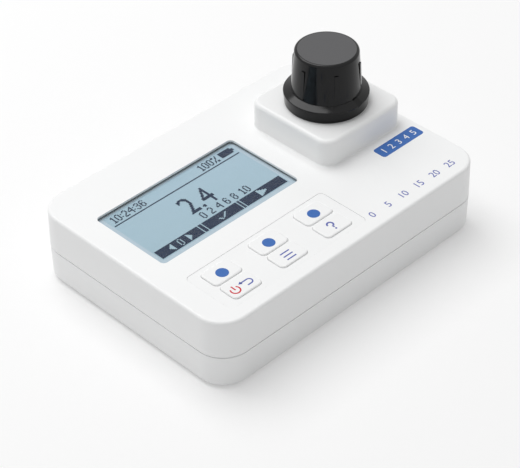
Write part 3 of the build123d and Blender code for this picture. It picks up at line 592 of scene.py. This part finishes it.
glasses = {
    "cuvette_glass": {"colour": (0.97, 0.99, 0.985, 1), "roughness": 0.01, "index": 1.47},
    "optical_glass": {"colour": (0.98, 0.98, 0.99, 1), "roughness": 0.005, "index": 1.52},
    "filter_glass": {"colour": (0.55, 0.75, 0.35, 1), "roughness": 0.01, "index": 1.5},
}
materials |= {name: glass(name, **look) for name, look in glasses.items()}
print("finishes made", len(materials))

# %% [markdown]
# The record names a material slot for each piece of the model. A list of pieces and finishes could stand
# here too. Going through the record gives every piece its finish, also those inside the case, and repeats
# nothing.

# %% Assign the finishes
slots = {part["node"]: part["material_slot"] for part in frame["record"]["subparts"]}
for node, obj in cad_nodes.items():
    obj.data.materials.clear()
    obj.data.materials.append(materials[slots[node]])
print("finishes used", sorted(set(slots.values())))


# %% [markdown]
# In the model the window rests right on the display. Where a clear face and a painted face share a plane,
# a renderer can't tell which comes first. So a copy of the window whose underside is lifted by a hair
# takes its place, and the display below it shows clearly.

# %% Window with a hair of air under it
air_gap = 0.15 * mm
merge_distance = 0.001 * mm
lens_under_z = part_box("display_lens")[0].z


def fresh():
    """Leaves edit mode and deselects everything."""
    if bpy.context.object and bpy.context.object.mode != "OBJECT":
        bpy.ops.object.mode_set(mode="OBJECT")
    bpy.ops.object.select_all(action="DESELECT")


fresh()
pane = cad_nodes["display_lens"].copy()
pane.data = pane.data.copy()
bpy.context.scene.collection.objects.link(pane)
pane.name = "window_pane"
pane.select_set(True)
bpy.context.view_layer.objects.active = pane
bpy.ops.object.mode_set(mode="EDIT")
bpy.ops.mesh.select_all(action="SELECT")
bpy.ops.mesh.remove_doubles(threshold=merge_distance)
bpy.ops.object.mode_set(mode="OBJECT")
lifted = [vertex for vertex in pane.data.vertices if vertex.co.z < lens_under_z + air_gap / 2]
for vertex in lifted:
    vertex.co.z += air_gap
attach(pane, "housing")
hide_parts("display_lens")
print("corners lifted", len(lifted))


# %% [markdown]
# Print on the deck and the keys is a layer of ink, a few hundredths of a millimetre thick. Each sign is
# modelled flat, as by hand, then gets that thickness and its place. A mask in the shader could draw it too,
# but ink with a body stays sharp from close by. One helper joins the pieces of a sign, and one turns the
# flat sign into ink and settles its place into the mesh.

# %% From a flat sign to ink
ink_thickness = 0.03 * mm


def join(parts):
    """Joins flat pieces into the first one."""
    fresh()
    for part in parts:
        part.select_set(True)
    bpy.context.view_layer.objects.active = parts[0]
    bpy.ops.object.join()
    return bpy.context.object


def settle(obj, name, place, body, material):
    """Gives a flat sign its thickness, its place, its ink and the body it rides on."""
    fresh()
    obj.select_set(True)
    bpy.context.view_layer.objects.active = obj
    thicken = obj.modifiers.new("ink", "SOLIDIFY")
    thicken.thickness = ink_thickness
    thicken.offset = 1.0
    bpy.ops.object.modifier_apply(modifier="ink")
    obj.name = name
    obj.data.name = name
    obj.data.transform(Matrix.Translation(place) @ obj.matrix_world)
    obj.matrix_world = Matrix.Identity(4)
    obj.data.materials.clear()
    obj.data.materials.append(material)
    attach(obj, body)
    print(name, "faces", len(obj.data.polygons))


# %% [markdown]
# The signs are built from four flat forms: a bar, a dot, a band along an arc, and numerals from the built
# in typeface. Each starts from a primitive and is shaped in edit mode. The band is one short edge, spun
# round its centre.

# %% Flat forms
corner_steps = 8
degrees_each_step = 6
least_steps = 6


def bar(length, width, x=0.0, y=0.0, corner=0.0):
    """A flat bar, with rounded corners where a corner radius is given."""
    fresh()
    bpy.ops.mesh.primitive_plane_add(size=1)
    obj = bpy.context.object
    bpy.ops.object.mode_set(mode="EDIT")
    bpy.ops.transform.resize(value=(length, width, 1))
    if corner:
        bpy.ops.mesh.bevel(offset=corner, segments=corner_steps, affect="VERTICES")
    bpy.ops.transform.translate(value=(x, y, 0))
    bpy.ops.object.mode_set(mode="OBJECT")
    return obj


def dot(radius, x=0.0, y=0.0, corners=64):
    """A flat disc, or a triangle when it has three corners."""
    fresh()
    bpy.ops.mesh.primitive_circle_add(vertices=corners, radius=radius, fill_type="NGON")
    obj = bpy.context.object
    obj.data.transform(Matrix.Translation((x, y, 0)))
    return obj


def arc(radius, width, start, sweep):
    """A band along an arc round the origin, spun from one short edge. Angles in degrees."""
    fresh()
    bpy.ops.mesh.primitive_plane_add(size=1)
    obj = bpy.context.object
    bpy.ops.object.mode_set(mode="EDIT")
    bpy.ops.mesh.merge(type="CENTER")
    bpy.ops.transform.translate(value=(radius - width / 2, 0, 0))
    bpy.ops.mesh.extrude_vertices_move(TRANSFORM_OT_translate={"value": (width, 0, 0)})
    bpy.ops.mesh.select_all(action="SELECT")
    steps = max(least_steps, round(sweep / degrees_each_step))
    bpy.ops.mesh.spin(steps=steps, angle=-math.radians(sweep), center=(0, 0, 0), axis=(0, 0, 1))
    bpy.ops.mesh.select_all(action="SELECT")
    bpy.ops.mesh.remove_doubles(threshold=merge_distance)
    bpy.ops.mesh.normals_make_consistent(inside=False)
    bpy.ops.object.mode_set(mode="OBJECT")
    if obj.data.polygons[0].normal.z < 0:
        obj.data.flip_normals()
    obj.data.transform(Matrix.Rotation(math.radians(start), 4, "Z"))
    return obj


def words(text, height, x=0.0, y=0.0, wide=1.0):
    """Numerals or signs from the built in typeface, as a flat mesh centred at a place."""
    fresh()
    bpy.ops.object.text_add()
    obj = bpy.context.object
    obj.data.body = text
    obj.data.size = 1.0
    bpy.ops.object.convert(target="MESH")
    corners = [vertex.co for vertex in obj.data.vertices]
    low = [min(corner[i] for corner in corners) for i in (0, 1)]
    high = [max(corner[i] for corner in corners) for i in (0, 1)]
    scale = height / (high[1] - low[1])
    obj.data.transform(Matrix.Translation((-(low[0] + high[0]) / 2, -(low[1] + high[1]) / 2, 0)))
    obj.data.transform(Matrix.Diagonal((scale * wide, scale, 1, 1)))
    obj.data.transform(Matrix.Translation((x, y, 0)))
    return obj


print("steps round a full ring", round(360 / degrees_each_step))


# %% [markdown]
# Screen printed ink is even and matt, and thin in places, where the plastic below shines through a little.
# Real transparency would need the plastic just below to show through, so a paler tone stands for it. The
# keys use blue, violet and red, and the numbers on the plate are white.

# %% Inks
thin_size = 0.4 * mm
thin_range = (0.35, 0.65)
thin_share = 0.05
shine_through = 0.25
ink_roughness = 0.45
ink_mirror = 0.2


def ink(name, colour):
    """Screen printed ink of one colour."""
    material, place = new_material(name)
    thin = place.noise(thin_size, 4.0).mapped(*thin_range, 0.0, thin_share)
    paler = tuple(level + shine_through * (1 - level) for level in colour[:3]) + (1.0,)
    inputs = {
        "Base Color": thin.mix(colour, paler),
        "Roughness": ink_roughness,
        "Specular IOR Level": ink_mirror,
    }
    return finish(material, principled(place, inputs))


blue_ink = ink("blue_ink", srgb(58, 106, 178))
violet_ink = ink("violet_ink", srgb(84, 96, 170))
red_ink = ink("red_ink", srgb(205, 45, 60))
white_ink = ink("white_ink", (0.86, 0.87, 0.88, 1))
print("inks", [made.name for made in (blue_ink, violet_ink, red_ink, white_ink)])

# %% [markdown]
# The three function keys carry a blue dot, a little in front of the key's middle. One dot could be copied
# from key to key, but a loop over the keys is plainer.

# %% Dots of the function keys
print_shift = Vector((-0.2 * mm, -0.55 * mm, 0))
dot_radius = 2.52 * mm


def key_top(node):
    """The middle of a key's top."""
    low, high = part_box(node)
    return Vector(((low.x + high.x) / 2, (low.y + high.y) / 2, high.z))


for side in ("left", "middle", "right"):
    node = "key_function_" + side
    settle(dot(dot_radius), "dot_" + side, key_top(node) + print_shift, node, blue_ink)

# %% [markdown]
# The power sign is a ring that is open at the top, with a bar in the opening. Beside it on the same key is
# the return sign: a hooked line with an arrow head. A typeface may hold such signs, each with a weight of
# its own. These are stretched and spun from strokes, with one width in each sign, as on the silk screen.

# %% Power and return
power_middle = (-52.1 * mm, -38.58 * mm)
power_radius = 1.85 * mm
power_stroke = 0.58 * mm
ring_start = 139.5
ring_sweep = 266
power_bar_length = 2.55 * mm
power_bar_rise = 1.2 * mm


def on_key(node, middle):
    """A place on a key's top, given in the frame."""
    return Vector((*middle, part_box(node)[1].z))


ring = arc(power_radius, power_stroke, ring_start, ring_sweep)
upright = bar(power_stroke, power_bar_length, 0, power_bar_rise)
settle(join([ring, upright]), "sign_power", on_key("key_power", power_middle), "key_power", red_ink)

sign_width = 0.55 * mm
return_middle = (-45.2 * mm, -38.5 * mm)
hook_radius = 1.3 * mm
rear_length = 3.2 * mm
rear_x = -1.5 * mm
front_length = 1.8 * mm
front_x = -0.9 * mm
head_radius = 0.95 * mm
head_x = -3.2 * mm

hook = arc(hook_radius, sign_width, -90, 180)
rear_line = bar(rear_length, sign_width, rear_x, hook_radius)
front_line = bar(front_length, sign_width, front_x, -hook_radius)
head = dot(head_radius, corners=3)
head_turn = Matrix.Rotation(math.radians(90), 4, "Z")
head.data.transform(Matrix.Translation((head_x, hook_radius, 0)) @ head_turn)
signs = join([hook, rear_line, front_line, head])
settle(signs, "sign_return", on_key("key_power", return_middle), "key_power", violet_ink)

# %% [markdown]
# The menu key carries three bars, and the help key a question mark. It could be typed, but a bow that opens
# to the lower left, a short stem and a point keep to the strokes of the other signs.

# %% Menu and question mark
menu_length = 4.6 * mm
menu_pitch = 1.9 * mm
lines = [bar(menu_length, sign_width, 0, step * menu_pitch) for step in (-1, 0, 1)]
settle(join(lines), "sign_menu", key_top("key_menu") + print_shift, "key_menu", violet_ink)

help_middle = (-1.35 * mm, -37.15 * mm)
bow_radius = 1.25 * mm
bow_stroke = 0.7 * mm
bow_start = -60
bow_sweep = 240
stem_length = 1.15 * mm
stem_place = (0.15 * mm, -1.55 * mm)
point_radius = 0.42 * mm
point_place = (0.05 * mm, -3.05 * mm)

bow = arc(bow_radius, bow_stroke, bow_start, bow_sweep)
stem = bar(bow_stroke, stem_length, *stem_place)
point = dot(point_radius, *point_place, corners=24)
settle(join([bow, stem, point]), "sign_help", on_key("key_help", help_middle), "key_help", violet_ink)

# %% [markdown]
# Beside the block sits a small blue plate, and along the front edge of the deck a line of print. Both hold
# plain numbers here. One text could hold a whole line, with the spacing of the typeface. Each number is made
# by itself instead, so that all stand at an even pitch.

# %% Print on the deck
deck_height = 31.6 * mm
deck_z = cad_box[0].z + deck_height
plate_length = 23.6 * mm
plate_width = 6.5 * mm
plate_corner = 1.3 * mm
plate_place = Vector((56.0 * mm, -20.25 * mm, deck_z))
plate_steps = range(1, 6)
plate_middle = 3
plate_height = 3.1 * mm
plate_pitch = 4.3 * mm

settle(bar(plate_length, plate_width, corner=plate_corner), "label_plate", plate_place, "housing", blue_ink)
plate_numbers = [words(str(step), plate_height, (step - plate_middle) * plate_pitch) for step in plate_steps]
plate_top = plate_place + Vector((0, 0, ink_thickness))
settle(join(plate_numbers), "label_numbers", plate_top, "housing", white_ink)

scale_steps = range(0, 30, 5)
scale_middle = 2.5
scale_height = 3.2 * mm
scale_pitch = 8.9 * mm
scale_place = Vector((36.7 * mm, -44.0 * mm, deck_z))
scale_numbers = [
    words(str(step), scale_height, (step / scale_steps.step - scale_middle) * scale_pitch)
    for step in scale_steps
]
settle(join(scale_numbers), "scale_numbers", scale_place, "housing", violet_ink)

# %% [markdown]
# The picture on the display is made of 128 by 64 square dots. It could be an image on the glass, but dots
# as faces stay sharp from close by. A set holds the column and row of each dark dot. Small numerals are
# drawn row by row from the top, with a hash mark for a dark dot.

# %% Small numerals
digit_rows = {
    "0": ".##. #..# #..# #..# #..# #..# #..# .##.",
    "1": "..#. .##. ..#. ..#. ..#. ..#. ..#. .###",
    "2": ".##. #..# ...# ...# ..#. .#.. #... ####",
    "3": ".##. #..# ...# .##. ...# ...# #..# .##.",
    "4": "...# ..## .#.# #..# #### ...# ...# ...#",
    "5": "#### #... #... ###. ...# ...# #..# .##.",
    "6": ".##. #..# #... ###. #..# #..# #..# .##.",
    "8": ".##. #..# #..# .##. #..# #..# #..# .##.",
    ":": ". . # . . # . .",
    "%": "##..# ##..# ...#. ...#. ..#.. .#... .#.## #..##",
}
space_width = 3


def draw(text, column, row):
    """The dots of small numerals, from a column and a row."""
    marks = set()
    for sign in text:
        if sign == " ":
            column += space_width
            continue
        rows = digit_rows[sign].split()
        for down, line in enumerate(rows):
            marks |= {(column + right, row + down) for right, mark in enumerate(line) if mark == "#"}
        column += len(rows[0]) + 1
    return marks


def block(first, last, top, bottom):
    """A filled field of dots."""
    return {(column, row) for column in range(first, last + 1) for row in range(top, bottom + 1)}


print("dots in an eight", len(draw("8", 0, 0)))

# %% [markdown]
# The head line shows a time, the charge of the cells in per cent and a small cell, with a rule below. A
# row of small numbers stands under the reading.

# %% Head line and small row
head_row = 1
clock_column = 2
charge_column = 91
cell_columns = (114, 125)
cell_bottom = 7
tip_columns = (126, 127)
tip_rows = (3, 5)
rule_row = 11
small_column = 53
small_row = 44

dark = draw("10:24:36", clock_column, head_row) | draw("100%", charge_column, head_row)
dark |= block(*cell_columns, head_row, cell_bottom) | block(*tip_columns, *tip_rows)
dark |= block(0, dot_columns - 1, rule_row, rule_row)
dark |= draw("0 2 4 6 8 10", small_column, small_row)
print("dots of the small print", len(dark))

# %% [markdown]
# The reading is large enough for the built in typeface. Its letters become flat faces, and a dot is dark
# where its middle lies in one of them. A ray from the dot crosses a face's outline an odd number of times
# when the dot lies inside.

# %% Large reading
reading_height = 21
reading_column = 64
reading_up = 32
reading_slimness = 0.8
half_dot = 0.5

number = words("2.4", reading_height, reading_column, reading_up, reading_slimness)
outline = [vertex.co.copy() for vertex in number.data.vertices]
flat_faces = [[outline[i] for i in face.vertices] for face in number.data.polygons]
bpy.data.objects.remove(number)


def covers(face, x, y):
    """True where a point lies in a flat face."""
    inside_face = False
    last = face[-1]
    for corner in face:
        if (corner.y > y) != (last.y > y):
            crossing = (last.x - corner.x) * (y - corner.y) / (last.y - corner.y) + corner.x
            if x < crossing:
                inside_face = not inside_face
        last = corner
    return inside_face


def whole_range(values):
    """The whole numbers that span some values."""
    return range(math.floor(min(values)), math.ceil(max(values)))


reading_dots = {
    (column, dot_rows - 1 - up)
    for column in whole_range([corner.x for corner in outline])
    for up in whole_range([corner.y for corner in outline])
    if any(covers(face, column + half_dot, up + half_dot) for face in flat_faces)
}
dark |= reading_dots
print("dots of the reading", len(reading_dots))

# %% [markdown]
# Along the front edge lie three dark fields that name what the function keys do. Plain signs stay pale in
# them: a nought between two arrows, a tick between two upright lines, and a larger arrow.

# %% Soft key fields
field_top = 54
field_bottom = 63
fields = ((0, 41), (43, 84), (86, 127))
sign_top = 55
sign_bottom = 62
arrow_steps = 4
left_arrow = 14
nought_column = 20
right_arrow = 29
large_arrow = 102
large_arrow_width = 2
mark_columns = (46, 82)
tick_start = (60, 59)
tick_foot = (64, 60)
tick_down_steps = 3
tick_up_steps = 5


def arrow(base, width):
    """A triangle of dots that narrows from its base column, to the left where the width is negative."""
    marks = set()
    for step in range(arrow_steps):
        first = base + step * width
        marks |= block(first, first + max(width, 1) - 1, sign_top + step, sign_bottom - step)
    return marks


def stroke(start, steps, fall):
    """A slanting stroke, two dots wide, that goes down or up by one row at each step."""
    column, row = start
    marks = set()
    for step in range(steps):
        marks |= block(column + step, column + step + 1, row + fall * step, row + fall * step)
    return marks


pale = draw("0", nought_column, sign_top) | arrow(left_arrow, -1) | arrow(right_arrow, 1)
pale |= arrow(large_arrow, large_arrow_width)
pale |= stroke(tick_start, tick_down_steps, 1) | stroke(tick_foot, tick_up_steps, -1)
for column in mark_columns:
    pale |= block(column, column, field_top, field_bottom)

for first, last in fields:
    dark |= block(first, last, field_top, field_bottom)
dark -= pale
print("dark dots", len(dark))

# %% [markdown]
# A grid with one face for each dot holds the whole picture. The faces that stay pale are deleted, and the
# rest gets a thickness, as the driven crystal has. It floats a hair above the panel, so that no two faces
# share a plane.

# %% Dots as faces
picture_lift = 0.05 * mm
crystal_size = 7 * mm
crystal_dark = srgb(16, 34, 60)
crystal_pale = srgb(26, 46, 74)
crystal_roughness = 0.4
crystal_mirror = 0.1


def keep_faces(obj, wanted):
    """Deletes every face for which a test of its middle says no."""
    bpy.context.tool_settings.mesh_select_mode = (False, False, True)
    bpy.ops.object.mode_set(mode="EDIT")
    bpy.ops.mesh.select_all(action="DESELECT")
    bpy.ops.object.mode_set(mode="OBJECT")
    for face in obj.data.polygons:
        face.select = not wanted(face.center)
    bpy.ops.object.mode_set(mode="EDIT")
    bpy.ops.mesh.delete(type="FACE")
    bpy.ops.object.mode_set(mode="OBJECT")
    bpy.context.tool_settings.mesh_select_mode = (True, False, False)


def is_dark(middle):
    """True where the middle of a face of the grid lies on a dark dot."""
    column = math.floor(middle.x / dot_pitch + dot_columns / 2)
    row = math.floor(dot_rows / 2 - middle.y / dot_pitch)
    return (column, row) in dark


fresh()
bpy.ops.mesh.primitive_grid_add(x_subdivisions=dot_columns, y_subdivisions=dot_rows, size=1)
picture = bpy.context.object
picture.data.transform(Matrix.Diagonal((dot_columns * dot_pitch, dot_rows * dot_pitch, 1, 1)))
keep_faces(picture, is_dark)

crystal, place = new_material("crystal_dots")
crystal_tone = place.noise(crystal_size, 3.0).mix(crystal_dark, crystal_pale)
dot_surface = {
    "Base Color": crystal_tone,
    "Roughness": crystal_roughness,
    "Specular IOR Level": crystal_mirror,
}
finish(crystal, principled(place, dot_surface))
picture_x = (dots_left + dots_right) / 2
picture_y = (dots_front + dots_rear) / 2
picture_place = Vector((picture_x, picture_y, lcd_top_z + picture_lift))
settle(picture, "display_dots", picture_place, "housing", crystal)
